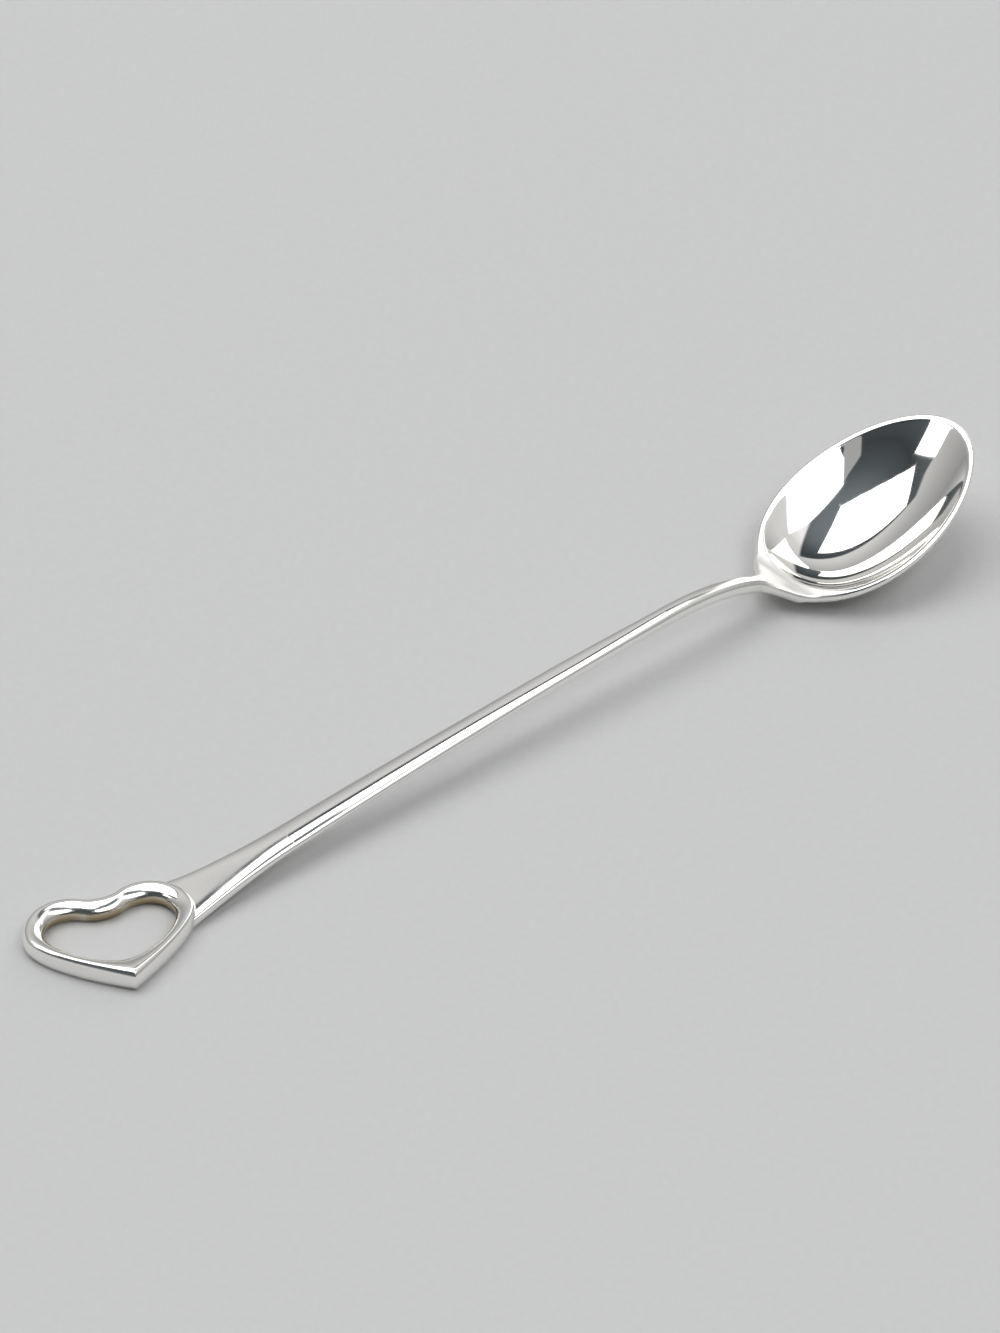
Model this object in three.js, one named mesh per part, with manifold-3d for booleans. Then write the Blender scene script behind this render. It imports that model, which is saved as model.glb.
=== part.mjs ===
// A slender silver teaspoon: a pitched egg-shaped bowl on a cranked neck, a tapered stem, and a flat palm that
// opens into a heart-shaped ring. Bowl, stem and finial are butted, pegged and soldered.
// Millimetres, +Z up. The spoon lies on z = 0 along X, heart at -X and bowl tip at +X, and its origin is the
// middle of its footprint.

import * as THREE from 'three';
import { LoftGeometry } from 'three/addons/geometries/LoftGeometry.js';
import { mergeVertices } from 'three/addons/utils/BufferGeometryUtils.js';
import Module from 'manifold-3d';

const wasm = await Module();
wasm.setup();

// Driving dimensions, in millimetres and degrees
const OVERALL_LENGTH = 148.8;

// Bowl: the rim climbs towards the tip with a slight sag, and the hollow is a paraboloid set into it, drawn in at
// the heel to leave a flat land; tightness keeps the land narrow and fade keeps it near the rim
const BOWL_LENGTH = 33.9;
const BOWL_WIDTH = 24;
const BOWL_PITCH = 20.6;
const BOWL_FULLNESS = 0.075;
const BOWL_DEPTH = 5.5;
const BOTTOM_WALL = 1;
const RIM_WIDTH = 0.8;
const RIM_THICKNESS = 0.9;
const RIM_ROUNDING = 0.2;
const RIM_SAG = 0.3;
const HEEL_LAND = 3;
const LAND_TIGHTNESS = 12;
const LAND_FADE = 3;

// Neck: from the seam over the crest and down into the land at the heel, where its end is sunk below the rim
const NECK_LENGTH = 20;
const NECK_WIDTH = 2.7;
const NECK_THICKNESS = 2.2;
const NECK_SEAM_HEIGHT = 7;
const NECK_SEAM_SLOPE = 1.7;
const NECK_CREST_REACH = 13.5;
const NECK_HEEL_SLOPE = -20;
const NECK_HEEL_REACH = 5.5;
const NECK_LANDING = 0.7;
const NECK_SINK = 0.9;
const LAND_THICKNESS = 0.9;
const SHOULDER_WIDTH = 12.2;
const SHOULDER_REACH = 3.2;

// Palm: the flat handle end, from the seam to the heart ring
const PALM_LENGTH = 14.5;
const PALM_SEAM_WIDTH = 4.55;
const PALM_SEAM_THICKNESS = 1.7;
const STEM_TAPER = 1.25;
const STEM_FLATNESS = 4;
const PALM_SEAM_HEIGHT = 3.2;
const PALM_SEAM_SLOPE = 5.5;
const PALM_RING_WIDTH = 8.6;
const PALM_RING_THICKNESS = 1.6;
const PALM_RING_SIDESTEP = 0.5;
const PALM_TUCK = 1.5;
const PALM_CLEARANCE = 0.12;

// Heart ring: outside sizes along and across its own axis, turned about the spoon's middle
const HEART_WIDTH = 21.5;
const HEART_HEIGHT = 17.5;
const HEART_TURN = 20.5;
const HEART_POINT_ANGLE = 35;
const CLEFT_DEPTH = 1.2;
const LOBE_SPREAD = 5;
const LOBE_RADIUS = 6.1;
const RING_WIDTH = 2.6;
const RING_HEIGHT = 2.3;
const POINT_WIDTH = 4.4;
const POINT_HEIGHT = 3;
const RING_FLAT = 0.2;

// Seams: a peg in two blind bores, and a film of solder between the faces
const PEG_DIAMETER = 0.9;
const PEG_LENGTH = 7;
const PEG_CLEARANCE = 0.12;
const SOLDER_FILM = 0.12;

// Sections: how square an oval is, where 2 is an ellipse
const STEM_SQUARENESS = 2.2;
const SHOULDER_SQUARENESS = 3.2;
const PALM_SQUARENESS = 4;
const RING_SQUARENESS = 2.3;

// Handle length that bends a cubic curve like a quarter circle
const ROUND_HANDLE = 0.55;

// Facets
const OVAL_POINTS = 20;
const EGG_POINTS = 56;
const RING_POINTS = 16;
const HOLLOW_ROWS = 8;
const STEM_STEPS = 18;
const NECK_STEPS = 28;
const PALM_STEPS = 10;
const CURVE_STEPS = 10;
const PEG_SIDES = 16;

// Sizes that follow from the driving dimensions
const slopeOf = (degrees) => Math.tan(THREE.MathUtils.degToRad(degrees));
const pitchSlope = slopeOf(BOWL_PITCH);
const bowlReach = BOWL_LENGTH / 2 * Math.cos(THREE.MathUtils.degToRad(BOWL_PITCH));
const bowlX = OVERALL_LENGTH / 2 - bowlReach;
const heelX = bowlX - bowlReach;
const neckSeamX = heelX - NECK_LENGTH;
const underDepth = BOWL_DEPTH + BOTTOM_WALL - RIM_THICKNESS;
const underReach = bowlReach - RIM_ROUNDING;
const underWidth = BOWL_WIDTH - 2 * RIM_ROUNDING;

// The rim's height at the middle of the bowl puts the lowest point of the pitched underside on z = 0
const underBend = RIM_SAG / bowlReach ** 2 + underDepth / underReach ** 2;
const rimMiddle = RIM_THICKNESS + underDepth + pitchSlope ** 2 / (4 * underBend);

function rimHeight(x) {
  const away = x - bowlX;
  return rimMiddle + pitchSlope * away + RIM_SAG * (away / bowlReach) ** 2;
}

// Booleans on three.js geometry
function solidOf(geometry) {
  const bare = new THREE.BufferGeometry();
  bare.setAttribute('position', geometry.attributes.position);
  bare.setIndex(geometry.index);
  const merged = mergeVertices(bare, 1e-4);
  const vertProperties = Float32Array.from(merged.attributes.position.array);
  const triVerts = Uint32Array.from(merged.index.array);
  return new wasm.Manifold(new wasm.Mesh({ numProp: 3, vertProperties, triVerts }));
}

function geometryOf(solid) {
  const { vertProperties, triVerts } = solid.getMesh();
  const geometry = new THREE.BufferGeometry();
  geometry.setAttribute('position', new THREE.BufferAttribute(vertProperties, 3));
  geometry.setIndex(new THREE.BufferAttribute(triVerts, 1));
  geometry.computeVertexNormals();
  return geometry;
}

// A superellipse: the unit point at an angle, pushed out towards the corners as it gets squarer
function superellipse(angle, squareness) {
  const bulge = (value) => Math.sign(value) * Math.abs(value) ** (2 / squareness);
  return new THREE.Vector2(bulge(Math.cos(angle)), bulge(Math.sin(angle)));
}

// An oval section of the handle, upright in the plane at one x; sidestep moves it off the spoon's middle
function ovalAt(centre, { width, thickness, squareness = STEM_SQUARENESS, sidestep = 0 }) {
  return Array.from({ length: OVAL_POINTS }, (_, i) => {
    const unit = superellipse((i + 0.5) / OVAL_POINTS * 2 * Math.PI, squareness);
    return new THREE.Vector3(
      centre.x,
      sidestep + unit.x * width / 2,
      centre.y + unit.y * thickness / 2,
    );
  });
}

// A centre line in side view (x along the spoon, y as its height), leaving and arriving at given slopes
function centreLine(start, startSlope, startReach, end, endSlope, endReach) {
  return new THREE.CubicBezierCurve(
    start,
    new THREE.Vector2(start.x + startReach, start.y + startReach * startSlope),
    new THREE.Vector2(end.x - endReach, end.y - endReach * endSlope),
    end,
  );
}

// A bar along a centre line: sizeAt gives the section's sizes at each share of the way
function barAlong(line, steps, sizeAt) {
  const sections = Array.from({ length: steps + 1 }, (_, i) => {
    const share = i / steps;
    return ovalAt(line.getPoint(share), sizeAt(share));
  });
  return new LoftGeometry(sections, { capStart: true, capEnd: true });
}

// Bowl: egg-shaped rings on the pitched rim plane, from the bottom of the hollow, over the rim, to the underside;
// setback draws a ring in at the heel alone
function eggRing(reach, width, drop, setback = 0) {
  return Array.from({ length: EGG_POINTS }, (_, i) => {
    const angle = -i / EGG_POINTS * 2 * Math.PI;
    const inward = setback * ((1 - Math.cos(angle)) / 2) ** LAND_TIGHTNESS;
    const x = bowlX + (reach - inward) * Math.cos(angle);
    const y = (width / 2 - inward) * Math.sin(angle) * (1 - BOWL_FULLNESS * Math.cos(angle));
    return new THREE.Vector3(x, y, rimHeight(x) - drop);
  });
}

function bowlShell() {
  const hollowReach = bowlReach - RIM_WIDTH;
  const hollowWidth = BOWL_WIDTH - 2 * RIM_WIDTH;
  const rows = [];
  for (let i = 0; i <= HOLLOW_ROWS; i++) {
    const share = i / HOLLOW_ROWS;
    const setback = (HEEL_LAND - RIM_WIDTH) * share ** LAND_FADE;
    rows.push(eggRing(share * hollowReach, share * hollowWidth, BOWL_DEPTH * (1 - share ** 2), setback));
  }
  rows.push(eggRing(underReach, underWidth, 0));
  rows.push(eggRing(bowlReach, BOWL_WIDTH, RIM_ROUNDING));
  rows.push(eggRing(bowlReach, BOWL_WIDTH, RIM_THICKNESS - RIM_ROUNDING));
  for (let i = HOLLOW_ROWS; i >= 0; i--) {
    const share = i / HOLLOW_ROWS;
    const drop = RIM_THICKNESS + underDepth * (1 - share ** 2);
    rows.push(eggRing(share * underReach, share * underWidth, drop));
  }
  return solidOf(new LoftGeometry(rows));
}

// Neck: a bar from the seam over the crest into the land, flaring into the shoulders
function neckBar() {
  const start = new THREE.Vector2(neckSeamX + SOLDER_FILM / 2, NECK_SEAM_HEIGHT);
  const endX = heelX + HEEL_LAND * NECK_LANDING;
  const end = new THREE.Vector2(endX, rimHeight(endX) - NECK_SINK - LAND_THICKNESS / 2);
  const line = centreLine(
    start, slopeOf(NECK_SEAM_SLOPE), NECK_CREST_REACH,
    end, slopeOf(NECK_HEEL_SLOPE), NECK_HEEL_REACH,
  );
  return solidOf(barAlong(line, NECK_STEPS, (share) => {
    const flare = THREE.MathUtils.smoothstep(line.getPoint(share).x, heelX - SHOULDER_REACH, endX);
    return {
      width: THREE.MathUtils.lerp(NECK_WIDTH, SHOULDER_WIDTH, flare),
      thickness: THREE.MathUtils.lerp(NECK_THICKNESS, LAND_THICKNESS, flare),
      squareness: THREE.MathUtils.lerp(STEM_SQUARENESS, SHOULDER_SQUARENESS, flare),
    };
  }));
}

// Heart ring: half of an outline on the heart's own axes, as three curves: from the bottom, which it leaves at the
// lean above level, to the widest place, the top of the lobe and the cleft
function heartSide(side, top, bottom, lean) {
  const rise = THREE.MathUtils.degToRad(lean);
  const low = new THREE.Vector2(0, bottom);
  const widest = new THREE.Vector2(side, HEART_HEIGHT - LOBE_RADIUS);
  const crest = new THREE.Vector2(Math.min(LOBE_SPREAD, side), top);
  const cleft = new THREE.Vector2(0, top - CLEFT_DEPTH);
  const leaving = new THREE.Vector2(Math.cos(rise), Math.sin(rise)).multiplyScalar(side * ROUND_HANDLE);
  const rising = new THREE.Vector2(0, (top - widest.y) * ROUND_HANDLE);
  const shoulder = new THREE.Vector2((side - crest.x) * ROUND_HANDLE, 0);
  const dipping = new THREE.Vector2(crest.x * ROUND_HANDLE, 0);
  return [
    new THREE.CubicBezierCurve(low, low.clone().add(leaving), widest.clone().sub(rising), widest),
    new THREE.CubicBezierCurve(widest, widest.clone().add(rising), crest.clone().add(shoulder), crest),
    new THREE.CubicBezierCurve(crest, crest.clone().sub(dipping), cleft.clone().add(dipping), cleft),
  ];
}

const outerSide = heartSide(HEART_WIDTH / 2, HEART_HEIGHT, 0, HEART_POINT_ANGLE);
const innerSide = heartSide(HEART_WIDTH / 2 - RING_WIDTH, HEART_HEIGHT - RING_WIDTH, POINT_WIDTH, 0);
const halfSteps = CURVE_STEPS * outerSide.length;

// One station of the ring, a number of steps from the point: its places on both outlines, and its height
function heartStation(step, mirror) {
  const piece = Math.min(Math.floor(step / CURVE_STEPS), outerSide.length - 1);
  const share = step / CURVE_STEPS - piece;
  const inner = innerSide[piece].getPoint(share);
  const outer = outerSide[piece].getPoint(share);
  inner.x *= mirror;
  outer.x *= mirror;
  return {
    inner,
    outer,
    middle: inner.clone().lerp(outer, 0.5),
    height: THREE.MathUtils.lerp(RING_HEIGHT, POINT_HEIGHT, (1 - step / halfSteps) ** 2),
  };
}

function heartStations() {
  const right = Array.from({ length: halfSteps }, (_, i) => heartStation(i, 1));
  const left = Array.from({ length: halfSteps }, (_, i) => heartStation(halfSteps - i, -1));
  return [...right, ...left];
}

// The ring's section stands on its flat underside, a superellipse with its lowest part cut off
function ringSection({ inner, outer, height }) {
  const tall = height + RING_FLAT;
  return Array.from({ length: RING_POINTS }, (_, i) => {
    const unit = superellipse((i + 0.5) / RING_POINTS * 2 * Math.PI, RING_SQUARENESS);
    const place = inner.clone().lerp(outer, (1 - unit.x) / 2);
    return new THREE.Vector3(place.x, place.y, Math.max(0, tall / 2 * (1 + unit.y) - RING_FLAT));
  });
}

// The heart's own axes, turned about the middle of its height; the ring's end then sets the overall length
const heartTurn = new THREE.Matrix4()
  .makeRotationZ(-THREE.MathUtils.degToRad(HEART_TURN))
  .multiply(new THREE.Matrix4().makeTranslation(0, -HEART_HEIGHT / 2, 0));
const stations = heartStations();
const ringSections = stations.map(ringSection);
const ringGeometry = new LoftGeometry([...ringSections, ringSections[0]]).applyMatrix4(heartTurn);
ringGeometry.computeBoundingBox();
const heartX = -OVERALL_LENGTH / 2 - ringGeometry.boundingBox.min.x;
const ringEndX = heartX + ringGeometry.boundingBox.max.x;
ringGeometry.translate(heartX, 0, 0);
const palmSeamX = ringEndX + PALM_LENGTH;

// Palm: a flat bar from under the ring's middle line out to the seam
function palmBar() {
  const endX = ringEndX - PALM_TUCK * RING_WIDTH;
  const start = new THREE.Vector2(endX, PALM_CLEARANCE + PALM_RING_THICKNESS / 2);
  const end = new THREE.Vector2(palmSeamX - SOLDER_FILM / 2, PALM_SEAM_HEIGHT);
  const reach = (end.x - start.x) / 3;
  const slope = slopeOf(PALM_SEAM_SLOPE);
  const stemFlare = STEM_TAPER * (PALM_SEAM_WIDTH - NECK_WIDTH) / (neckSeamX - palmSeamX);
  return solidOf(barAlong(centreLine(start, slope, reach, end, slope, reach), PALM_STEPS, (share) => {
    const away = 1 - share;
    const steady = stemFlare * (end.x - start.x);
    const widening = PALM_RING_WIDTH - PALM_SEAM_WIDTH - steady;
    return {
      width: PALM_SEAM_WIDTH + steady * away + widening * away ** 2,
      thickness: THREE.MathUtils.lerp(PALM_SEAM_THICKNESS, PALM_RING_THICKNESS, away ** 2),
      squareness: THREE.MathUtils.lerp(STEM_SQUARENESS, PALM_SQUARENESS, away),
      sidestep: PALM_RING_SIDESTEP * away ** 2,
    };
  }));
}

// The space inside the ring's middle line, through the whole height, where the palm must not reach
function heartOpening() {
  const outline = new THREE.Shape(stations.map(({ middle }) => middle));
  const depth = 4 * (RING_HEIGHT + PALM_SEAM_HEIGHT);
  const geometry = new THREE.ExtrudeGeometry(outline, { depth, bevelEnabled: false });
  geometry.translate(0, 0, -depth / 2).applyMatrix4(heartTurn).translate(heartX, 0, 0);
  return solidOf(geometry);
}

// Stem: a tapered bar between the two seams
function stemBar() {
  const start = new THREE.Vector2(palmSeamX + SOLDER_FILM / 2, PALM_SEAM_HEIGHT);
  const end = new THREE.Vector2(neckSeamX - SOLDER_FILM / 2, NECK_SEAM_HEIGHT);
  const reach = (end.x - start.x) / 3;
  const line = centreLine(start, slopeOf(PALM_SEAM_SLOPE), reach, end, slopeOf(NECK_SEAM_SLOPE), reach);
  return solidOf(barAlong(line, STEM_STEPS, (share) => ({
    width: NECK_WIDTH + (PALM_SEAM_WIDTH - NECK_WIDTH) * (1 - share) ** STEM_TAPER,
    thickness: THREE.MathUtils.lerp(PALM_SEAM_THICKNESS, NECK_THICKNESS, share ** STEM_FLATNESS),
  })));
}

// Seams: each has a place, a slope that its peg follows, and the oval of the faces that meet there
const neckSeam = {
  x: neckSeamX,
  height: NECK_SEAM_HEIGHT,
  slope: NECK_SEAM_SLOPE,
  width: NECK_WIDTH,
  thickness: NECK_THICKNESS,
};
const palmSeam = {
  x: palmSeamX,
  height: PALM_SEAM_HEIGHT,
  slope: PALM_SEAM_SLOPE,
  width: PALM_SEAM_WIDTH,
  thickness: PALM_SEAM_THICKNESS,
};

function rodAt(seam, diameter, length) {
  const rod = new THREE.CylinderGeometry(diameter / 2, diameter / 2, length, PEG_SIDES);
  rod.rotateZ(Math.PI / 2).rotateY(-THREE.MathUtils.degToRad(seam.slope));
  return rod.translate(seam.x, 0, seam.height);
}

const boreAt = (seam) => solidOf(rodAt(seam, PEG_DIAMETER + 2 * PEG_CLEARANCE, PEG_LENGTH + 4 * PEG_CLEARANCE));

function solderAt(seam) {
  const faces = [-SOLDER_FILM / 2, SOLDER_FILM / 2].map((offset) => {
    const centre = new THREE.Vector2(seam.x + offset, seam.height);
    return ovalAt(centre, seam);
  });
  const film = solidOf(new LoftGeometry(faces, { capStart: true, capEnd: true }));
  return geometryOf(film.subtract(boreAt(seam)));
}

// Assembly
const spoon = new THREE.Group();
spoon.name = 'teaspoon';

function addPiece(name, geometry, colour, roughness) {
  const material = new THREE.MeshStandardMaterial({ color: colour, metalness: 1, roughness });
  const mesh = new THREE.Mesh(geometry, material);
  mesh.name = name;
  spoon.add(mesh);
}

const POLISHED_SILVER = 0xdcdbd6;
const DRAWN_SILVER = 0xcfcdc7;
const SILVER_SOLDER = 0xd2d0c4;

const bowl = bowlShell().add(neckBar()).subtract(boreAt(neckSeam));
const stem = stemBar().subtract(boreAt(neckSeam)).subtract(boreAt(palmSeam));
const ring = solidOf(ringGeometry);
const finial = ring.add(palmBar().subtract(heartOpening())).subtract(boreAt(palmSeam));

addPiece('bowl', geometryOf(bowl), POLISHED_SILVER, 0.08);
addPiece('stem', geometryOf(stem), POLISHED_SILVER, 0.08);
addPiece('heart_finial', geometryOf(finial), POLISHED_SILVER, 0.08);
addPiece('neck_peg', rodAt(neckSeam, PEG_DIAMETER, PEG_LENGTH), DRAWN_SILVER, 0.35);
addPiece('finial_peg', rodAt(palmSeam, PEG_DIAMETER, PEG_LENGTH), DRAWN_SILVER, 0.35);
addPiece('neck_solder', solderAt(neckSeam), SILVER_SOLDER, 0.2);
addPiece('finial_solder', solderAt(palmSeam), SILVER_SOLDER, 0.2);

export default spoon;
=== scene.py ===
"""A polished silver teaspoon with an open heart finial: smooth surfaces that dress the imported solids."""
import math

import bmesh
import bpy
import numpy as np
from mathutils import Matrix, Vector


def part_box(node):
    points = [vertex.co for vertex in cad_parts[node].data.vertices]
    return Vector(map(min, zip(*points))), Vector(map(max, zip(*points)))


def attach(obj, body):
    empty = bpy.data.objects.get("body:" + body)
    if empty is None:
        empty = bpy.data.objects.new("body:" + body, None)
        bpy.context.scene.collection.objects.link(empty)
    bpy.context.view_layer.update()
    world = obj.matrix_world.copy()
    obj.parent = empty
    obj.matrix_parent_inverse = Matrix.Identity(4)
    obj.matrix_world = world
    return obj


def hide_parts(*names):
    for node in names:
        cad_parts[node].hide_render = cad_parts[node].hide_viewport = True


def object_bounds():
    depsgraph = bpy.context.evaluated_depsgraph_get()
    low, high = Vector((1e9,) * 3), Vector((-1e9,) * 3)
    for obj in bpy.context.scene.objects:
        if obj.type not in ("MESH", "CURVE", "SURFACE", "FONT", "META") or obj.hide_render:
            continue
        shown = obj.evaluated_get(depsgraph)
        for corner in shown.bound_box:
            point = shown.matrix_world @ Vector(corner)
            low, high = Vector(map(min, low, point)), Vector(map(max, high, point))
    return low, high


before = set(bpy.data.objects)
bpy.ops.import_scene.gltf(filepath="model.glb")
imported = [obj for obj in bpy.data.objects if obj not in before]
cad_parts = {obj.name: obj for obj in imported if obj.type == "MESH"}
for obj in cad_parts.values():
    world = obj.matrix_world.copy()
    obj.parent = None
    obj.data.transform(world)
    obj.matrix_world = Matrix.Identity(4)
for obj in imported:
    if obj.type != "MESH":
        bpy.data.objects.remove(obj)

cad_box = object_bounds()
MM = 0.001

# Bowl, in millimetres and degrees: the sizes of the solid
BOWL_LENGTH = 33.9
BOWL_WIDTH = 24
BOWL_PITCH = 20.6
BOWL_FULLNESS = 0.075
BOWL_DEPTH = 5.5
BOTTOM_WALL = 1
RIM_WIDTH = 0.8
RIM_THICKNESS = 0.9
RIM_ROUNDING = 0.2
RIM_SAG = 0.3
HEEL_LAND = 3
LAND_TIGHTNESS = 12
LAND_FADE = 3

# Neck: the cranked bar between the seam and the heel, where its end is sunk below the rim
NECK_WIDTH = 2.7
NECK_THICKNESS = 2.2
NECK_SEAM_HEIGHT = 7
NECK_SEAM_SLOPE = 1.7
NECK_CREST_REACH = 13.5
NECK_HEEL_SLOPE = -20
NECK_HEEL_REACH = 5.5
NECK_LANDING = 0.7
NECK_SINK = 0.9
LAND_THICKNESS = 0.9
SHOULDER_WIDTH = 12.2
SHOULDER_REACH = 3.2

# Stem and palm: the oval stem gets flat and wide towards the flat handle end
STEM_TAPER = 1.25
STEM_FLATNESS = 4
PALM_SEAM_WIDTH = 4.55
PALM_SEAM_THICKNESS = 1.7
PALM_SEAM_HEIGHT = 3.2
PALM_SEAM_SLOPE = 5.5
PALM_RING_WIDTH = 8.6
PALM_RING_THICKNESS = 1.6
PALM_RING_SIDESTEP = 0.5
PALM_TUCK = 1.5
PALM_CLEARANCE = 0.12

# Heart ring
HEART_WIDTH = 21.5
HEART_HEIGHT = 17.5
HEART_TURN = 20.5
HEART_POINT_ANGLE = 35
CLEFT_DEPTH = 1.2
LOBE_SPREAD = 5
LOBE_RADIUS = 6.1
RING_WIDTH = 2.6
RING_HEIGHT = 2.3
POINT_WIDTH = 4.4
POINT_HEIGHT = 3
RING_FLAT = 0.2
ROUND_HANDLE = 0.55

# Seams: a peg in two blind bores, and a film of solder
PEG_DIAMETER = 0.9
PEG_LENGTH = 7
PEG_CLEARANCE = 0.12
SOLDER_FILM = 0.12

# Polish: what the smith's file and buff have changed at the edges of the solids, in millimetres and degrees,
# and how square the ovals are, from 2 for an ellipse
HOLLOW_SETBACK = 2.1
HOLLOW_EDGE = 0.12
RIM_EDGE = 0.32
HEEL_EDGE = 0.7
EDGE_WALL_SHARE = 0.45
SHARPEST_EDGE = 1e-4
LAND_BLEND = 1.1
UNDER_BLEND = 0.4
HEEL_BLEND = 0.7
HEEL_CLIMB = 0.5
FALL_FADE_START = 1.5
FALL_FADE_END = 1
UNDER_FULLNESS = 0.35
FULL_START = 0.4
FULL_CREST = 0.8
FULL_END = 1.1
SHOULDER_BLEND = 0.4
SHOULDER_LEAD = 1.3
SHOULDER_GENTLENESS = 1.6
NECK_SQUARENESS = 2.2
LAND_SQUARENESS = 3.2
SEAM_SQUARENESS = 2.2
STEM_SQUARENESS = 2.8
SQUARE_START = 0.45
SQUARE_CREST = 0.75
PALM_SQUARENESS = 5
PALM_FLARE = 1.3
FLARE_SHARPNESS = 7
PALM_OVERRUN = 1.15
RING_SQUARENESS = 2.3
RING_TILT = 0.24
CREASE_ANGLE = 38

# Where the buff doesn't reach: the satin of the heel, and the tarnish in the ring, which is partly real
# tarnish and partly painted shade on the ring's inner walls
SATIN_START = 4.5
SATIN_FULL = 1.5
SATIN_EDGE = 0.05
NECK_SATIN = 0.3
# Which walls get the tarnish and painted shade: how squarely they face the heart's middle, and where up the
# wall it stops
TARNISH_AND_SHADE_FACING = (0.25, 0.8)
TARNISH_AND_SHADE_FOOT = 0.4

# Grids, and how their points are crowded where a surface bends most
NECK_ROWS = 50
HEEL_ROWS = 130
FAN_ROWS = 220
FAN_LAG = 0.42
HOLLOW_COLUMNS = 34
EDGE_COLUMNS = 22
EDGE_ZONE = 0.3
ZONE_SHARE = 0.25
ZONE_MARGIN = 1.2
RIM_COLUMNS = 18
RIM_CROWDING = 1.6
UNDER_COLUMNS = 26
UNDER_CROWDING = 2.2
STEM_ROWS = 220
OVAL_POINTS = 96
PALM_ROWS = 80
HEART_STATIONS = 56
RING_POINTS = 72
NECK_SAMPLES = 2001
LIP_SAMPLES = 401
WELD = 2e-7
TINY = 1e-6

# Places that follow from the sizes and from the frame
spoon_low, spoon_high = (np.array(corner) / MM for corner in cad_box)


def seam_x(node):
    """The middle of a solder film along the spoon, in millimetres."""
    low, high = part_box(node)
    return (low[0] + high[0]) / 2 / MM


pitch_slope = math.tan(math.radians(BOWL_PITCH))
bowl_reach = BOWL_LENGTH / 2 * math.cos(math.radians(BOWL_PITCH))
bowl_x = spoon_high[0] - bowl_reach
heel_x = bowl_x - bowl_reach
neck_seam_x = seam_x("neck_solder")
palm_seam_x = seam_x("finial_solder")
under_depth = BOWL_DEPTH + BOTTOM_WALL - RIM_THICKNESS
under_reach = bowl_reach - RIM_ROUNDING
under_half = BOWL_WIDTH / 2 - RIM_ROUNDING
hollow_reach = bowl_reach - RIM_WIDTH
hollow_half = BOWL_WIDTH / 2 - RIM_WIDTH
under_bend = RIM_SAG / bowl_reach ** 2 + under_depth / under_reach ** 2
rim_middle = RIM_THICKNESS + under_depth + pitch_slope ** 2 / (4 * under_bend)
bore_radius = PEG_DIAMETER / 2 + PEG_CLEARANCE


def slope_of(degrees):
    """The rise over the run at an angle."""
    return math.tan(math.radians(degrees))


def lerp(start, end, share):
    """The value a share of the way from start to end."""
    return start + (end - start) * share


def ease(value, start, end):
    """Goes from 0 at start to 1 at end, level at both: 3 s^2 - 2 s^3 of the share s of the way."""
    share = np.clip((value - start) / (end - start), 0, 1)
    return share * share * (3 - 2 * share)


def soft_larger(first, second, reach):
    """The larger of two values, rounded where they cross: half of what both and the root of
    difference^2 + reach^2 add up to."""
    return (first + second + np.sqrt((first - second) ** 2 + reach ** 2)) / 2


def soft_smaller(first, second, reach):
    """The smaller of two values, rounded where they cross."""
    return -soft_larger(-first, -second, reach)


def bezier(points, share):
    """A cubic curve: each of the four points weighted by its Bernstein polynomial of the share."""
    share = np.asarray(share)[..., None]
    start, start_handle, end_handle, end = np.asarray(points, float)
    rest = 1 - share
    return (start * rest ** 3 + 3 * start_handle * rest ** 2 * share
            + 3 * end_handle * rest * share ** 2 + end * share ** 3)


def centre_line(start, start_slope, start_reach, end, end_slope, end_reach):
    """The four points of a centre line in side view, which leaves and arrives at given slopes."""
    start_handle = (start[0] + start_reach, start[1] + start_reach * start_slope)
    end_handle = (end[0] - end_reach, end[1] - end_reach * end_slope)
    return start, start_handle, end_handle, end


def superellipse(angle, squareness):
    """The unit point at an angle, its sine and cosine raised to 2 / squareness with their signs kept."""
    across, up = np.cos(angle), np.sin(angle)
    power = 2 / squareness
    return np.sign(across) * np.abs(across) ** power, np.sign(up) * np.abs(up) ** power


# Meshes
def skin(name, rings, looped=False, end_faces=(True, True)):
    """A closed skin over a stack of rings: point j of ring i joins its neighbours in its own and the next
    ring. A looped stack joins its last ring to its first. Any other gets a face over its first and its last
    ring, apart from a ring that is folded flat and welds shut."""
    count, around = rings.shape[:2]
    ring = np.arange(count if looped else count - 1)[:, None]
    point = np.arange(around)[None, :]
    following = (ring + 1) % count
    beside = (point + 1) % around
    corners = [
        ring * around + point,
        ring * around + beside,
        following * around + beside,
        following * around + point,
    ]
    faces = np.stack(corners, axis=-1).reshape(-1, 4).tolist()
    if not looped and end_faces[0]:
        faces.append(list(range(around))[::-1])
    if not looped and end_faces[1]:
        faces.append(list(range((count - 1) * around, count * around)))
    mesh = bpy.data.meshes.new(name)
    mesh.from_pydata((rings.reshape(-1, 3) * MM).tolist(), [], faces)
    tidy_mesh(mesh)
    piece = bpy.data.objects.new(name, mesh)
    bpy.context.scene.collection.objects.link(piece)
    return piece


def tidy_mesh(mesh):
    """Merges the points that meet at a pole or a seam and turns every face outwards."""
    work = bmesh.new()
    work.from_mesh(mesh)
    bmesh.ops.remove_doubles(work, verts=work.verts, dist=WELD)
    bmesh.ops.dissolve_degenerate(work, edges=work.edges, dist=WELD)
    bmesh.ops.recalc_face_normals(work, faces=work.faces)
    work.to_mesh(mesh)
    work.free()


def polish(piece):
    """Smooth shading, with a crisp edge wherever two faces meet at more than the crease angle."""
    mesh = piece.data
    mesh.polygons.foreach_set("use_smooth", np.ones(len(mesh.polygons), bool))
    mesh.set_sharp_from_angle(angle=math.radians(CREASE_ANGLE))


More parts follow.
